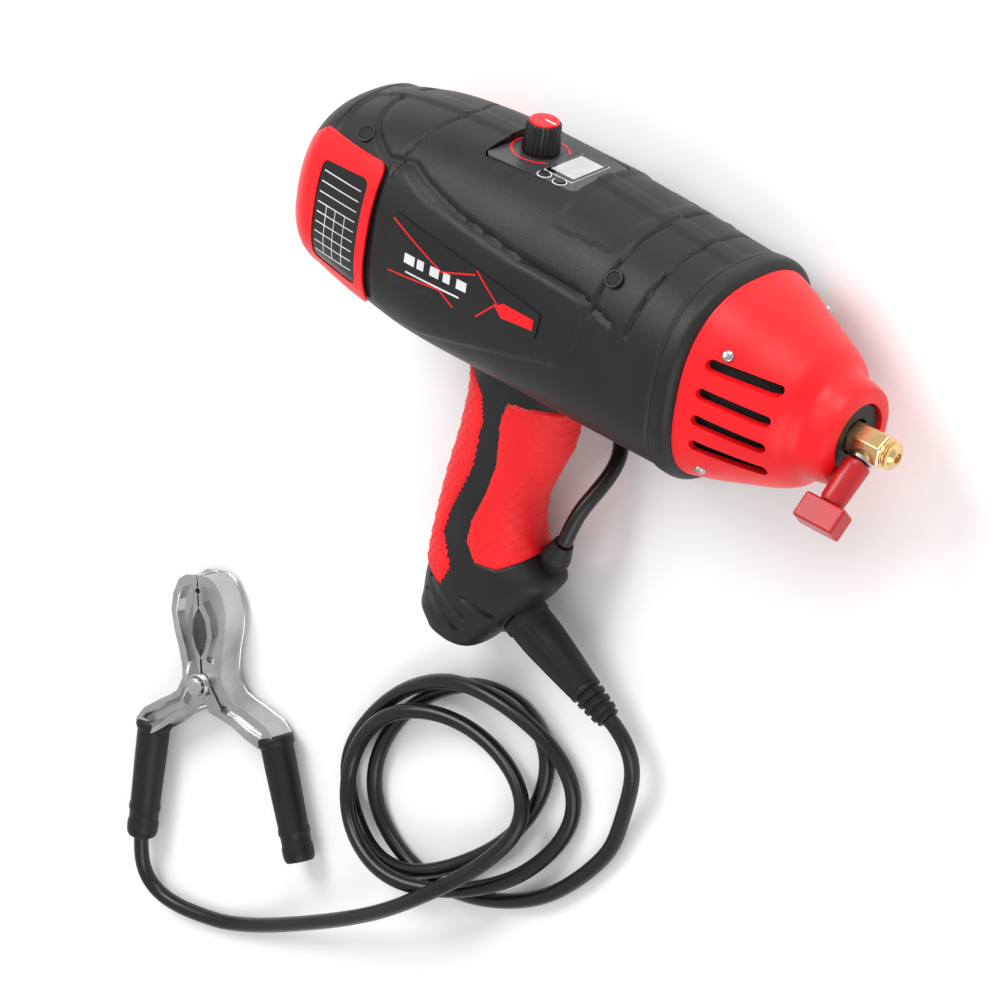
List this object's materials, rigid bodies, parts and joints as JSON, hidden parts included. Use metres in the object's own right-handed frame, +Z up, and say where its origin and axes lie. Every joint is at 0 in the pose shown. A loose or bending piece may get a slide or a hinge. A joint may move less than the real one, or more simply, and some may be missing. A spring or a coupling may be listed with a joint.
{
  "type": "handheld inverter welding gun",
  "caption": "Pistol-shaped handheld arc welding machine with a control knob, electrode chuck, earth lead, earth clamp and mains lead.",
  "frame": {"origin": "on the floor under the middle of the gun's bounding box, leads and clamp left out", "axes": "+X towards the nose, +Y towards the control knob side, +Z up from the floor; the gun lies on its left side"},
  "size_m": [0.4486, 0.5583, 0.1188],
  "materials": {
    "black_abs": "fine textured satin",
    "black_parts": "satin",
    "gloss_black": "high gloss",
    "red_plastic": "semi-gloss",
    "red_grip": "soft, dotted",
    "grey_panel": "satin",
    "black_rubber": "semi-matte",
    "steel": "bright",
    "brass": "satin",
    "board": "satin",
    "aluminium": "satin",
    "copper": "satin"
  },
  "bodies": {
    "root": {"rear_cover": "black_abs", "housing_right": "black_abs", "housing_left": "black_abs", "front_ring": "black_abs", "fan_frame": "black_abs", "chuck_insulator": "black_abs", "switch_ring": "black_abs", "capacitor_rear": "black_parts", "capacitor_front": "black_parts", "label_plate_right": "gloss_black", "label_plate_left": "gloss_black", "side_badge_right": "gloss_black", "side_badge_left": "gloss_black", "display_window": "gloss_black", "nose_cone": "red_plastic", "label_frame_right": "red_plastic", "label_frame_left": "red_plastic", "grip_front": "red_grip", "grip_rear": "red_grip", "control_panel": "grey_panel", "earth_plug_body": "black_rubber", "earth_plug_boot": "black_rubber", "earth_cable": "black_rubber", "clamp_sleeve_left": "black_rubber", "mains_gland": "black_rubber", "mains_cord": "black_rubber", "mains_tail": "black_rubber", "mains_hank": "black_rubber", "hank_tie": "black_rubber", "mains_plug": "black_rubber", "clamp_arm_left": "steel", "clamp_rivet": "steel", "clamp_spring": "steel", "screw_rear_right": "steel", "screw_front_right": "steel", "potentiometer": "steel", "electrode_chuck": "brass", "chuck_tip": "brass", "earth_socket": "brass", "earth_plug_pin": "brass", "plug_pin_a": "brass", "plug_pin_b": "brass", "main_board": "board", "control_board": "board", "heat_sink": "aluminium", "transformer": "copper", "output_choke": "copper", "busbar": "copper"},
    "knob": {"knob_body": "black_parts", "knob_cap": "red_plastic"},
    "button_up": {"button_up": "black_parts"},
    "button_down": {"button_down": "black_parts"},
    "power_button": {"power_button": "red_plastic"},
    "clamp_lever": {"clamp_lever": "red_plastic", "clamp_head": "red_plastic", "clamp_plunger": "steel"},
    "fan": {"fan_rotor": "black_abs"},
    "clamp_arm_right": {"clamp_arm_right": "steel", "clamp_sleeve_right": "black_rubber"}
  },
  "joints": [
    {"name": "knob_turn", "type": "hinge", "parent": "root", "child": "knob", "pos_m": [-0.05345, 0.13894, 0.0709], "axis": [0, 0.9857, 0.1685], "range_deg": [-140, 140]},
    {"name": "button_up_press", "type": "slide", "parent": "root", "child": "button_up", "axis": [0, -0.9857, -0.1685], "range_m": [0, 0.0008], "stiffness_N_per_m": 600},
    {"name": "button_down_press", "type": "slide", "parent": "root", "child": "button_down", "axis": [0, -0.9857, -0.1685], "range_m": [0, 0.0008], "stiffness_N_per_m": 600},
    {"name": "power_press", "type": "slide", "parent": "root", "child": "power_button", "axis": [1, 0, 0], "range_m": [0, 0.0015], "stiffness_N_per_m": 600},
    {"name": "clamp_screw_turn", "type": "hinge", "parent": "root", "child": "clamp_lever", "pos_m": [0.17015, 0.04381, 0.07655], "axis": [0, -0.8054, 0.5928], "range_deg": [-720, 0]},
    {"name": "fan_spin", "type": "hinge", "parent": "root", "child": "fan", "pos_m": [-0.14545, 0.07191, 0.05944], "axis": [1, 0, 0], "continuous": true},
    {"name": "clamp_open", "type": "hinge", "parent": "root", "child": "clamp_arm_right", "pos_m": [-0.21945, -0.26303, 0.012], "axis": [0, 0, -1], "range_deg": [0, 24], "stiffness_Nm_per_rad": 2}
  ]
}
